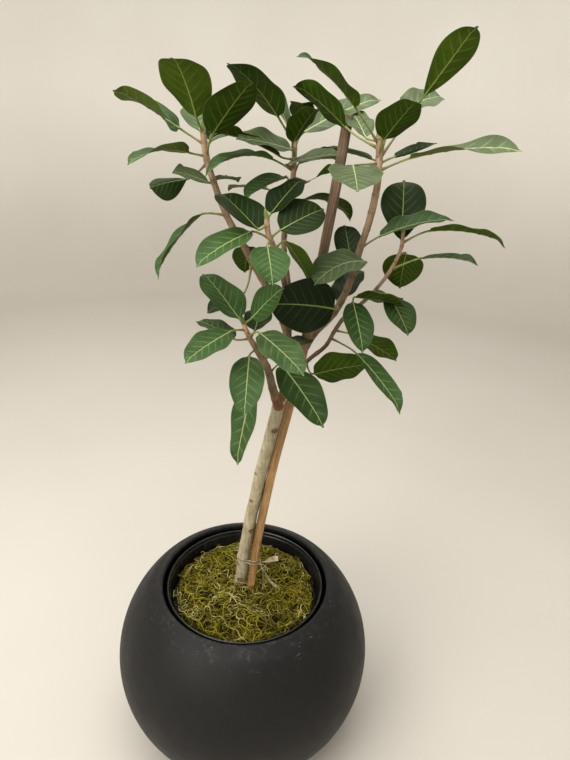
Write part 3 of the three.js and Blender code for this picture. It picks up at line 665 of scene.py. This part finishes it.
# ---- Leaves ----
RING_HALF = 25  # points on each face of a leaf's section, edge to edge
BLADE_RINGS = 58
BLADE_BLUNTNESS = {"base": 0.6, "tip": 0.5}  # the lower, the blunter
BLADE_FULLEST = 0.46  # where most blades are widest, as a share of their length
BLADE_TIP = {"start": 0.965, "width": 2.6}  # the small point at the end of a blade
STALK_RINGS = 11
STALK_RADIUS = 1.65
STALK_TURN = 0.35  # how early a stalk turns towards its blade, as a share of its length
STALK_SWELL = 0.55  # how much thicker a stalk is where it leaves the bark
STALK_CLEAR = 1.6 + 1  # the CAD stalk's radius and its gap from the bark
STALK_LEAST = 6  # the least length of stalk beyond that
UPPER, UNDER, STALK = range(3)  # a leaf's materials, in their order

# What makes each blade different: from the least to the most of each.
WAVES, SWAY, CUP, DROOP = (1.3, 2.6), (1.5, 3.0), (-0.05, 0.05), (2, 6)
WAVY_WIDTH = 50  # a narrower blade than this waves less
# How far the side veins are sunk and how wide that is, and the same of the groove over the midrib.
QUILT = {"depth": 0.55, "width": 0.13}
GROOVE = {"depth": 0.45, "width": 1.5}


def leaf_start(shoot, height, heading, rise, length):
    """Where a leaf's stalk leaves the bark and where its blade begins."""
    points = np.array(shoot["points"], float)
    above = max(1, int(np.argmax(points[:, 2] >= height)))
    low, high = points[above - 1], points[above]
    place = low + (high - low) * (height - low[2]) / (high[2] - low[2])
    grown = (height - points[0, 2]) / (points[-1, 2] - points[0, 2])
    bark = shoot["base"] + (shoot["tip"] - shoot["base"]) * grown
    out = direction(heading, rise)
    angle = math.acos(float(np.clip(out @ unit(high - low), -1, 1)))
    clear = (bark + STALK_CLEAR) / math.sin(angle)
    base = place + out * max(length, clear + STALK_LEAST)
    return place + out * bark * 0.5, place + out * clear, base


def leaf_mesh(shoot, row, rng):
    """A leaf's vertices, faces, face materials and attributes, from a row of the tables."""
    height, (stalk_heading, stalk_rise, stalk_length), blade, bend, tone_and_light = row
    heading, rise, length, width = blade
    roll, arch, fold, twist, fullest = (*bend, BLADE_FULLEST)[:5]
    bark, start, base = leaf_start(shoot, height, stalk_heading, stalk_rise, stalk_length)

    def axes(share):
        """The blade's own directions, a share of the way along it: ahead, to its side and up."""
        tilt = rise + arch * (0.5 - share)
        ahead, above = direction(heading, tilt), direction(heading, tilt + 90)
        turn = np.radians(roll + twist * share)[..., None]
        up = above * np.cos(turn) + np.cross(ahead, above) * np.sin(turn)
        return ahead, np.cross(ahead, up), up

    def midrib(share):
        if arch == 0:
            return base + direction(heading, rise) * length * share[:, None]
        radius = length / (2 * math.sin(math.radians(arch) / 2))
        bow = direction(heading, rise + arch * (0.5 - share) + 90) - direction(heading, rise + arch / 2 + 90)
        return base + radius * bow

    # The blade, as sections from the stalk to the tip.
    even = np.linspace(0, 1, BLADE_RINGS)
    share = (0.55 * even + 0.45 * 0.5 * (1 - np.cos(np.pi * even))) * 0.996
    s = share[:, None]
    turn = np.pi * np.arange(RING_HALF) / (RING_HALF - 1)
    top_across = -np.cos(turn)
    across = np.concatenate([top_across, top_across[-2:0:-1]])[None, :]
    is_top = (np.arange(across.shape[1]) < RING_HALF)[None, :]
    main = np.minimum(s / BLADE_TIP["start"], 0.999)
    blunt = np.where(main < fullest, BLADE_BLUNTNESS["base"], BLADE_BLUNTNESS["tip"])
    half = (width / 2) * np.sin(np.pi * main ** (math.log(0.5) / math.log(fullest))) ** blunt
    point = BLADE_TIP["width"] * (1 - s) / (1 - BLADE_TIP["start"]) * smoothstep((s - 0.5) / 0.3)
    half = np.maximum(half, point)
    x = across * half
    reach = np.abs(across)

    # How far each point is lifted: the fold, waves and cup, then the veins and the midrib.
    steep = math.tan(math.radians(fold))
    trough = np.sqrt(reach ** 2 + 0.01) - 0.1
    lift = half * steep * (trough - 0.4 * reach * (1 - reach))
    size = length / 100
    waves, phases = rng.uniform(*WAVES), rng.uniform(0, TAU, 2)
    side_phase = np.where(across < 0, phases[0], phases[1])
    body = smoothstep(s / 0.2) * smoothstep((1.02 - s) / 0.2)
    sway = rng.uniform(*SWAY) * size * min(1, (width / WAVY_WIDTH) ** 2)
    wave = sway * reach ** 2.4 * np.sin(TAU * waves * s + side_phase) * body
    cup = rng.uniform(*CUP) * half * reach ** 2

    out = np.abs(x) / length
    level = s - VEINS["slope"] * out - VEINS["sweep"] * out ** 2
    phase = level * VEINS["count"] + np.where(x > 0, VEINS["stagger"], 0)
    gap = np.abs(phase % 1 - 0.5)
    sunk = np.exp(-(gap / QUILT["width"]) ** 2) * smoothstep(level / 0.06) * body * (1 - reach ** 3)
    quilt = -QUILT["depth"] * size * sunk
    groove = -GROOVE["depth"] * np.exp(-(x / GROOVE["width"]) ** 2) * body
    ridge = -(1.5 - 1.2 * s) * np.exp(-(x / (1.7 - 1.0 * s)) ** 2)
    thin = (0.26 - 0.1 * s) * (1 - reach ** 6) + 0.02
    droop = -rng.uniform(*DROOP) * size * smoothstep((s - 0.8) / 0.2) ** 2
    z = lift + wave + cup + quilt + droop + np.where(is_top, thin + groove, ridge - thin)

    round_x = across * STALK_RADIUS
    round_z = np.where(is_top, 1, -1) * np.sqrt(np.maximum(0, 1 - across ** 2)) * STALK_RADIUS
    flat = smoothstep(s / 0.055)
    x = round_x + (x - round_x) * flat
    z = round_z + (z - round_z) * flat
    _, side, up = axes(share)
    rings = sections(midrib(share), x, side, z, up)

    # The stalk, as round sections from inside the bark to the blade.
    ahead0, side0, _ = (v[0] for v in axes(np.zeros(1)))
    bend = base - ahead0 * STALK_TURN * np.linalg.norm(base - start)
    t = np.linspace(0, 1, STALK_RINGS)[:-1, None]
    centre = bark * (1 - t) ** 2 + 2 * bend * t * (1 - t) + base * t ** 2
    tangent = unit(2 * (bend - bark) * (1 - t) + 2 * (base - bend) * t)
    over = unit(side0 - (tangent @ side0)[:, None] * tangent)
    lifted = np.cross(over, tangent)
    girth = STALK_RADIUS * (1 + STALK_SWELL * (1 - smoothstep(t / 0.25)) - 0.1 * np.sin(np.pi * t))
    stalk = sections(centre, girth * round_x / STALK_RADIUS, over, girth * round_z / STALK_RADIUS, lifted)

    verts, faces = loft(np.concatenate([stalk, rings]), bark, rings[-1].mean(0) + ahead0 * 0.01)
    sides = across.shape[1]
    at = np.zeros((len(stalk) + len(rings), sides, 3))
    at[:len(stalk), :, 1] = t - 1
    at[len(stalk):, :, 0] = x / length
    at[len(stalk):, :, 1] = s
    at[len(stalk):, :, 2] = across * flat
    at = np.vstack([(0, -1, 0), at.reshape(-1, 3), (0, 1, 0)])
    around = [UPPER if k < RING_HALF - 1 else UNDER for k in range(sides)]
    materials = [STALK] * (sides * (len(stalk) + 1)) + around * len(rings)
    # Each vertex carries the leaf's tone and light: painted shade for deep leaves, a painted sheen for pale
    # ones.
    return verts, faces, materials, {"leaf_at": at, "tone_and_light": np.full(len(verts), tone_and_light)}


def make_leaves(materials):
    rng = np.random.default_rng(7)
    for table, prefix in ((LEAVES, "foliage"), (SMALL_LEAVES, "small_leaf")):
        for name, rows in table.items():
            for i, row in enumerate(rows):
                verts, faces, face_materials, attributes = leaf_mesh(SHOOTS[name], row, rng)
                obj = make_piece(f"{prefix}_{name}_{i + 1:02d}", verts, faces, materials, face_materials,
                                 attributes)
                nodes = [f"leaf_{name}_{i + 1:02d}"] if table is LEAVES else []
                finish_piece(obj, "leaf", *nodes)


# ---- Trunk and shoots ----
RING_STEP, RING_HALF_WIDTH = 26, 1.1  # the ring scars on a shoot: how far apart and how wide
BARK_VOXEL = 1.3
BARK_BLOCK = 20000  # how many vertices are measured at once
# How far the skin stands out or in: lumps on the trunk and on a shoot, ring scars, dashes on
# the trunk, and a knot's collar and pit.
SKIN = {"trunk": 0.28, "shoot": 0.14, "ring": 0.55, "dash": 0.22, "collar": 1.1, "pit": 1.4}
FORK_SWELL = {"share": 0.12, "length": 14}  # how a shoot thickens where it leaves the trunk


def nearest_wood(verts, paths):
    """For each vertex: which axis is nearest, and how far along it that is."""
    best = np.full(len(verts), 1e9)
    which, run_at, share_at = (np.zeros(len(verts)) for _ in range(3))
    for number, (path, run, radii) in enumerate(paths):
        for chunk in range(0, len(verts), BARK_BLOCK):
            block = slice(chunk, chunk + BARK_BLOCK)
            apart = np.linalg.norm(verts[block, None, :] - path[None, :, :], axis=2) - radii[None, :]
            index = apart.argmin(1)
            near = apart[np.arange(len(index)), index]
            better = near < best[block]
            best[block] = np.where(better, near, best[block])
            which[block] = np.where(better, number, which[block])
            run_at[block] = np.where(better, run[index], run_at[block])
            share_at[block] = np.where(better, run[index] / run[-1], share_at[block])
    return which, run_at, share_at


def at_height(points, height):
    points = np.array(points, float)
    return np.array([np.interp(height, points[:, 2], points[:, axis]) for axis in range(3)])


def trunk_radius(height):
    low, high = TRUNK["points"][0][2], TRUNK["points"][-1][2]
    return TRUNK["base"] + (TRUNK["tip"] - TRUNK["base"]) * ((height - low) / (high - low))


def make_bark(material):
    """The trunk and its shoots, grown together by a remesh, with the skin worked on after it."""
    bodies, paths = [], []
    for wood in (TRUNK, *SHOOTS.values()):
        path, run = even_path(wood["points"], 40 + 8 * len(wood["points"]))
        radii = np.interp(run, [0, run[-1]], [wood["base"], wood["tip"]])
        paths.append((path, run, radii))
        near_fork = np.exp(-(run / FORK_SWELL["length"]) ** 2) * (wood is not TRUNK)
        swell = 1 + FORK_SWELL["share"] * near_fork
        rings = tube_rings(path, radii * swell, 24)
        bodies.append(loft(rings, path[0], path[-1]))
    verts, faces = joined(bodies)
    rough = make_piece("bark_rough", verts, faces, [])
    remesh = rough.modifiers.new("remesh", "REMESH")
    remesh.mode, remesh.voxel_size = "VOXEL", BARK_VOXEL * MM
    relax = rough.modifiers.new("relax", "SMOOTH")
    relax.factor, relax.iterations = 0.6, 4
    mesh = bpy.data.meshes.new_from_object(rough.evaluated_get(bpy.context.evaluated_depsgraph_get()))
    bpy.data.objects.remove(rough)

    count = len(mesh.vertices)
    co, normal = np.empty(count * 3, np.float32), np.empty(count * 3, np.float32)
    mesh.vertices.foreach_get("co", co)
    mesh.vertices.foreach_get("normal", normal)
    co, normal = co.reshape(-1, 3).astype(float) / MM, normal.reshape(-1, 3).astype(float)
    which, run, share = nearest_wood(co, paths)
    on_trunk = which == 0

    ring_phase = (run + 7 * which + 2 * np.sin(co[:, 0] * 0.9 + co[:, 1])) % RING_STEP
    ring = np.exp(-((ring_phase - RING_STEP / 2) / RING_HALF_WIDTH) ** 2) * ~on_trunk
    lumps = (np.sin(co @ (0.11, 0.07, 0.052)) + np.sin(co @ (-0.09, 0.13, 0.083) + 1.7)
             + 0.6 * np.sin(co @ (0.21, -0.16, 0.19) + 0.6))
    push = lumps * np.where(on_trunk, SKIN["trunk"], SKIN["shoot"]) + ring * SKIN["ring"]
    dashes = np.sin(co[:, 2] * 0.62 + 2.2 * np.sin(co[:, 0] * 0.31 + co[:, 1] * 0.27))
    push += np.where(on_trunk, SKIN["dash"] * np.maximum(0, dashes - 0.72) / 0.28, 0)
    knot = np.zeros(count)
    for height, heading, radius in KNOTS:
        centre = at_height(TRUNK["points"], height) + direction(heading, 0) * trunk_radius(height)
        offset = (co - centre) * (1, 1, 1.35)
        apart = np.linalg.norm(offset, axis=1) / radius
        collar = np.exp(-((apart - 0.85) / 0.28) ** 2)
        pit = np.exp(-(apart / 0.5) ** 2)
        push += collar * SKIN["collar"] - pit * SKIN["pit"]
        knot = np.maximum(knot, np.clip(np.exp(-((apart - 0.6) / 0.42) ** 2) + 0.3 * pit, 0, 1))
    co += normal * push[:, None]
    mesh.vertices.foreach_set("co", (co * MM).astype(np.float32).ravel())

    side_shoot = which == 1 + list(SHOOTS).index("side")
    age = np.where(side_shoot, 0.35 + 0.65 * share, share)
    youth = np.where(on_trunk, 0.0, 0.1 + 0.9 * age)
    at = np.stack([youth, knot, ring], -1).astype(np.float32)
    mesh.attributes.new("bark_at", "FLOAT_VECTOR", "POINT").data.foreach_set("vector", at.ravel())
    mesh.materials.clear()
    mesh.materials.append(material)
    mesh.shade_smooth()
    obj = bpy.data.objects.new("bark_skin", mesh)
    bpy.context.scene.collection.objects.link(obj)
    finish_piece(obj, "bark", "trunk")


def make_buds(material):
    """A pointed sheath round the next leaf at the end of each shoot."""
    rng = np.random.default_rng(11)
    for name, length in BUDS.items():
        points = np.array(SHOOTS[name]["points"], float)
        tip, lean = points[-1], unit(points[-1] - points[-2])
        lean = unit(lean + rng.uniform(-0.12, 0.12, 3))
        t = np.linspace(0, 1, 14)
        path = tip - lean * 3 + lean * (length + 3) * t[:, None]
        radii = SHOOTS[name]["tip"] * (0.92 - 0.1 * t) * (1 - t ** 2.2) ** 0.6 + 0.15
        verts, faces = loft(tube_rings(path, radii, 16), path[0], path[-1] + lean * 0.6)
        at = np.zeros((len(verts), 3))
        at[:, 1] = -0.2
        bud = make_piece(f"bud_{name}", verts, faces, [material], attributes={"leaf_at": at})
        finish_piece(bud, "leaf")


# ---- Stake and tie ----
def make_stake(material):
    path, run = even_path(STAKE, 150)
    half, corner, per_corner, edge_step = STAKE_SIDE / 2, 1.1, 6, 1.6
    section = []
    for quarter in range(4):
        middle = math.radians(45 + 90 * quarter)
        centre = np.array([np.sign(math.cos(middle)), np.sign(math.sin(middle))]) * (half - corner)
        arc = np.radians(90 * quarter + np.linspace(0, 90, per_corner))
        section += [centre + corner * np.array([math.cos(a), math.sin(a)]) for a in arc]
    section = np.array(section)
    edges = []
    for a, b in zip(section, np.roll(section, -1, axis=0)):
        steps = max(1, int(np.linalg.norm(b - a) / edge_step))
        edges += [a + (b - a) * i / steps for i in range(steps)]
    section = np.array(edges)

    ahead = unit(np.gradient(path, axis=0))
    right = unit(np.cross(ahead, (0, 1, 0)))
    back = np.cross(ahead, right)
    wear = 1 - 0.35 / half * (np.sin(section[:, 0] * 1.7 + 0.8) + np.sin(section[:, 1] * 2.3))
    rings = sections(path, (section[:, 0] * wear)[None], right, (section[:, 1] * wear)[None], back)
    split = 0.35 * np.sin(run[:, None] * 0.021 + section[None, :, 0] * 0.5)
    rings += split[..., None] * right[:, None, :]
    verts, faces = loft(rings, path[0], path[-1])
    at = np.concatenate([np.broadcast_to(section[None] * MM, (len(path), len(section), 2)),
                         np.broadcast_to(run[:, None, None] * MM, (len(path), len(section), 1))], -1)
    at = np.vstack([(0, 0, 0), at.reshape(-1, 3), (0, 0, run[-1] * MM + 0.02)])
    obj = make_piece("stake_bar", verts, faces, [material], attributes={"bar_at": at}, sharp=55)
    finish_piece(obj, "stake", "stake")


def ribbon(steps, half_widths, knot):
    """A thin strip that twists as it goes, from the knot outwards."""
    path, run = even_path([knot + np.array(step, float) for step in steps], 26)
    t = run / run[-1]
    half = np.interp(t, np.linspace(0, 1, len(half_widths)), half_widths)
    ahead = unit(np.gradient(path, axis=0))
    flat = unit(np.cross(ahead, (0.2, 1, 0.3)))
    twist = (0.5 + 1.3 * t)[:, None]
    across = flat * np.cos(twist) + np.cross(ahead, flat) * np.sin(twist)
    face = np.cross(across, ahead)
    turn = TAU * np.arange(16) / 16
    crease = 0.5 * np.sin(2 * turn)[None, :] * np.sin(9 * t)[:, None]
    rings = sections(path, half[:, None] * np.cos(turn), across, 0.28 * np.sin(turn) + crease, face)
    return loft(rings, path[0], path[-1])


def make_tie(material):
    trunk_at, stake_at = at_height(TRUNK["points"], TIE_HEIGHT), at_height(STAKE, TIE_HEIGHT)
    trunk_hug = trunk_radius(TIE_HEIGHT) + TWINE_RADIUS
    stake_hug = STAKE_SIDE / 2 * CORNER_REACH + TWINE_RADIUS
    apart = (stake_at - trunk_at)[:2]
    heading, distance = math.atan2(apart[1], apart[0]), np.linalg.norm(apart)
    lead = math.acos((trunk_hug - stake_hug) / distance)
    loops = []
    for lift, lean in TWINE_TURNS:
        arcs = [(trunk_at, trunk_hug, heading + lead, heading + TAU - lead),
                (stake_at, stake_hug, heading - lead, heading + lead)]
        points = []
        for centre, hug, first, last in arcs:
            turn = np.linspace(first, last, 20)
            xy = centre[:2] + hug * np.stack([np.cos(turn), np.sin(turn)], -1)
            z = TIE_HEIGHT + lift + lean * (xy[:, 0] - trunk_at[0]) + 0.5 * np.sin(3 * turn)
            points.append(np.column_stack([xy, z]))
        loop = np.vstack([*points, points[0][:1]])
        path, _ = even_path(loop[::2], 90)
        path[-1] = path[0]
        rings = tube_rings(path, np.full(len(path), TWINE_RADIUS), 10)
        loops.append(loft(rings, path[0], path[-1]))
    knot = np.array([stake_at[0] + stake_hug - 0.5, stake_at[1] - 5, TIE_HEIGHT])
    coil = np.linspace(0, 2.2 * TAU, 50)
    bow = knot + np.stack([2.2 * np.cos(coil), 1.6 * np.sin(coil), 2.6 * np.cos(coil * 0.8)], -1)
    loops.append(loft(tube_rings(bow, np.full(50, 1.0), 8), bow[0], bow[-1]))
    verts, faces = joined(loops)
    finish_piece(make_piece("tie_loops", verts, faces, [material]), "tie", "tie")
    for name, end in TAPE_ENDS.items():
        verts, faces = ribbon(end["steps"], end["half"], knot)
        finish_piece(make_piece(name, verts, faces, [material]), "tie")


# ---- Moss ----
STRANDS = {"steps": 20, "sides": 5, "groups": 4, "depth": (-4.5, 7), "edge": (122, 141), "inset": 6}
# The fine strands, the coarse ones and the stray curls: how many, how long, how thick, and
# how far they rise from the bed as they run.
STRAND_KINDS = [(2400, (24, 66), (0.35, 0.6), (0, 0)), (1000, (36, 96), (0.6, 0.95), (0, 3)),
                (150, (30, 64), (0.35, 0.6), (6, 22))]


def moss_height(x, y):
    """The height of the moss bed's domed and lumpy top."""
    r = np.hypot(x, y)
    bulge = np.sqrt(np.clip(1 - (r / MOSS["radius"]) ** 2, 0, 1))
    dome = MOSS["edge"] + (MOSS["crown"] - MOSS["edge"]) * bulge
    dome -= MOSS["slump"] * smoothstep((r - MOSS["slump_from"]) / (MOSS["radius"] - MOSS["slump_from"]))
    lumps = (np.sin(x * 0.062 + 0.9) * np.cos(y * 0.071) + 0.7 * np.sin(x * 0.11 - y * 0.093 + 2.1)
             + 0.5 * np.sin(y * 0.16 + x * 0.05))
    return dome + 2.1 * lumps


def strand_paths(rng, count, start, base, length, rise):
    """Curly paths over the moss bed, from their starting places and heights above it."""
    steps = STRANDS["steps"]
    limit = rng.uniform(*STRANDS["edge"], count)
    heading = rng.uniform(0, TAU, count)
    curl = rng.normal(0, 0.09, count)
    sway = rng.uniform(0.25, 0.75, count) * rng.choice((-1, 1), count)
    pace, phase = rng.uniform(0.35, 0.95, count), rng.uniform(0, TAU, count)
    step = rng.uniform(*length, count) / steps
    x, y = start
    points = np.empty((count, steps, 3))
    lift_phase, lift_pace = rng.uniform(0, TAU, count), rng.uniform(0.25, 0.7, count)
    climb = rng.uniform(*rise, count) / steps
    for i in range(steps):
        lift = base + 2.4 * np.sin(lift_phase + lift_pace * i) + climb * i
        points[:, i] = np.stack([x, y, moss_height(x, y) + lift], -1)
        x, y = x + step * np.cos(heading), y + step * np.sin(heading)
        heading = heading + curl + sway * np.sin(phase + pace * i)
        r = np.hypot(x, y)
        inward = np.minimum(1, limit / np.maximum(r, 1))
        x, y = x * inward, y * inward
    return points


def strands_mesh(points, radii, tones_and_light):
    steps, sides = points.shape[1], STRANDS["sides"]
    taper = np.sin(np.pi * np.linspace(0.12, 0.9, steps)) ** 0.5
    rings = tube_rings(points, radii[:, None] * taper[None, :], sides, (0.1, 0.2, 1))
    per = steps * sides + 2
    verts = np.concatenate([points[:, :1], rings.reshape(len(points), -1, 3), points[:, -1:]], axis=1)
    _, pattern = loft(rings[0], points[0, 0], points[0, -1])
    faces = [tuple(i + n * per for i in face) for n in range(len(points)) for face in pattern]
    return verts.reshape(-1, 3), faces, np.repeat(tones_and_light, per)


def make_moss(strand_material, shade_bed_material):
    rng = np.random.default_rng(3)
    rings, sides, below, rough = [], 96, 3, 0.8
    turn = TAU * np.arange(sides) / sides
    for r in np.linspace(MOSS["radius"] - 0.5, 4, 40):
        x, y = r * np.cos(turn), r * np.sin(turn)
        rings.append(np.stack([x, y, moss_height(x, y) - below + rng.uniform(-rough, rough, sides)], -1))
    bottom = rings[0].copy()
    bottom[:, 2] = MOSS["under"]
    verts, faces = loft(np.array([bottom, *rings]), (0, 0, MOSS["under"]), (0, 0, moss_height(0, 0) - below))
    # A near-black dome under the strands: painted shade for the gaps between them.
    shade_bed = make_piece("moss_shade_bed", verts, faces, [shade_bed_material])
    finish_piece(shade_bed, "moss", "moss")

    for group in range(STRANDS["groups"]):
        verts, faces, tones_and_light = [], [], []
        for count, length, girth, rise in STRAND_KINDS:
            count //= STRANDS["groups"]
            r = (MOSS["radius"] - STRANDS["inset"]) * np.sqrt(rng.uniform(0, 1, count))
            turn = TAU * (group + rng.uniform(0, 1, count)) / STRANDS["groups"]
            layer = rng.uniform(0, 1, count) ** 1.4
            start = (r * np.cos(turn), r * np.sin(turn))
            base = np.interp(layer, (0, 1), STRANDS["depth"])
            points = strand_paths(rng, count, start, base, length, rise)
            # Deeper strands get a lower value and so a darker colour, and the highest a brighter one:
            # painted shade and light of the moss's depth. The random share and the few pale strands are the
            # moss's own colour.
            pale = 0.3 * (rng.uniform(0, 1, count) > 0.94)
            hue_and_depth_shade = np.clip(0.7 * layer ** 1.5 + 0.36 * rng.beta(2, 2, count) + pale, 0, 1)
            kind_verts, kind_faces, kind_tones_and_light = strands_mesh(points, rng.uniform(*girth, count), hue_and_depth_shade)
            shift = sum(len(block) for block in verts)
            faces += [tuple(index + shift for index in face) for face in kind_faces]
            verts.append(kind_verts)
            tones_and_light.append(kind_tones_and_light)
        obj = make_piece(f"moss_strands_{group + 1}", np.vstack(verts), faces, [strand_material],
                         attributes={"tone_and_light": np.concatenate(tones_and_light)})
        finish_piece(obj, "moss")


# ---- Pots ----
def make_planter(material):
    p = PLANTER

    def arc(radius, half_height, low, high, steps):
        turn = np.linspace(math.asin((low - p["centre"]) / half_height),
                           math.asin((high - p["centre"]) / half_height), steps)
        return [(radius * math.cos(a), p["centre"] + half_height * math.sin(a)) for a in turn]

    outside = arc(p["radius"], p["half_height"], 0, p["shoulder"], 64)
    inside = arc(p["radius"] - p["wall"], p["half_height"] - p["wall"], p["floor"], p["shoulder"], 40)[::-1]
    edge = outside[-1][0]
    lip = [(edge - inward, p["shoulder"] + up) for inward, up in LIP]
    inside = [(r, z) for r, z in inside if z < p["inside_top"]]
    foot = [(outside[0][0] - 3, 0), (outside[0][0] - 0.6, 0.8)]
    side = [(r, z) for r, z in outside if z > p["foot_top"]]
    outline = [(0, 0), (60, 0), (110, 0), *foot, *side, *lip, *inside, (60, p["floor"]), (0, p["floor"])]
    finish_piece(turned("planter_shell", outline, 224, material), "planter", "planter")


def make_pot(material):
    p = POT
    slope = (p["top"] - p["bottom"]) / (p["shoulder"] - p["floor"])
    rim_r, rim = p["rim_radius"], p["rim"]

    def inner(z):
        return p["bottom"] + slope * (z - p["floor"]) - p["wall"]

    outline = [
        (0, p["floor"]), (p["bottom"] - 3, p["floor"]), (p["bottom"] - 0.6, p["floor"] + 0.7),
        (p["bottom"], p["floor"] + 3), (p["top"] - 0.4, p["shoulder"] - 3), (p["top"], p["shoulder"] - 0.6),
        (p["top"] + 1, p["shoulder"]), (rim_r - 1, p["shoulder"] + 1.2), (rim_r, p["shoulder"] + 2.6),
        (rim_r, rim - 2.4), (rim_r - 0.5, rim - 0.9), (rim_r - 1.6, rim), (rim_r - 3, rim - 0.3),
        (rim_r - 4, rim - 1.6), (rim_r - 4.2, rim - 5), (rim_r - 4.4, rim - 7), (rim_r - 5.4, rim - 8.2),
        (rim_r - 6, rim - 9.4), (rim_r - 6.2, p["shoulder"] + 1), (rim_r - 6.8, p["shoulder"] - 1.5),
        (inner(p["shoulder"] - 4), p["shoulder"] - 4), (inner(p["soil_line"]), p["soil_line"]),
        (inner(p["floor"] + 3), p["floor"] + 3), (0, p["floor"] + p["wall"]),
    ]
    finish_piece(turned("nursery_pot_tub", outline, 160, material, sharp=60), "nursery_pot", "nursery_pot")


# ---- Stage, light and camera ----
def make_stage():
    r, sweep, wall = STAGE["floor_radius"] / MM, STAGE["sweep"] / MM, STAGE["wall"] / MM
    turn = np.linspace(0, math.pi / 2, 24)
    outline = [(0, -PAPER_DROP), *[(x, -PAPER_DROP) for x in np.linspace(r / 8, r, 8)]]
    outline += [(r + sweep * math.sin(a), sweep * (1 - math.cos(a)) - PAPER_DROP) for a in turn[1:]]
    outer, top = r + sweep + PAPER_THICK, sweep + wall
    outline += [(r + sweep, top), (outer, top), (outer, -PAPER_THICK), (0, -PAPER_THICK)]
    floor = turned("studio_floor", outline[::-1], 128, stage_material())


def area_light(name, place, target, size, power, colour):
    light = bpy.data.lights.new(name, "AREA")
    light.shape, light.size, light.energy, light.color = "SQUARE", size, power, colour
    obj = bpy.data.objects.new(name, light)
    obj.location = place
    obj.rotation_euler = (Vector(target) - Vector(place)).to_track_quat("-Z", "Y").to_euler()
    bpy.context.scene.collection.objects.link(obj)


def make_lights():
    middle = (0.05, 0, (cad_low.z + cad_high.z) / 2)
    area_light("ceiling", (-0.4, -0.1, 3.1), middle, 3.0, 110, (1.0, 0.975, 0.94))
    area_light("front_left", (-1.9, -2.2, 2.3), middle, 1.8, 70, (1.0, 0.97, 0.93))
    world = bpy.data.worlds.new("room")
    world.use_nodes = True
    background = world.node_tree.nodes["Background"]
    background.inputs["Color"].default_value = (1.0, 0.98, 0.95, 1)
    background.inputs["Strength"].default_value = 0.37
    bpy.context.scene.world = world
    bpy.context.scene.view_settings.view_transform = "Standard"


def make_camera():
    lens = bpy.data.cameras.new("camera")
    lens.sensor_fit, lens.sensor_width, lens.lens = "AUTO", CAMERA["sensor"], CAMERA["lens"]
    camera = bpy.data.objects.new("camera", lens)
    camera.location = Vector(CAMERA["place"]) * MM
    tilt = Euler((math.radians(90 - CAMERA["pitch"]), 0, 0)).to_matrix()
    roll = Euler((0, 0, math.radians(CAMERA["roll"]))).to_matrix()
    camera.rotation_euler = (tilt @ roll).to_euler()
    bpy.context.scene.collection.objects.link(camera)
    bpy.context.scene.camera = camera


# ---- Assembly ----
make_camera()
make_stage()
make_lights()

leaf_materials = [leaf_material("leaf_upper"), leaf_material("leaf_under"), stalk_material()]
make_leaves(leaf_materials)
make_bark(bark_material())
make_buds(leaf_materials[STALK])
make_stake(stake_material())
make_tie(twine_material())
make_moss(moss_material(), moss_shade_bed_material())
make_planter(planter_material())
make_pot(pot_material())
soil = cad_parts["soil"]
soil.data.materials.clear()
soil.data.materials.append(soil_material())
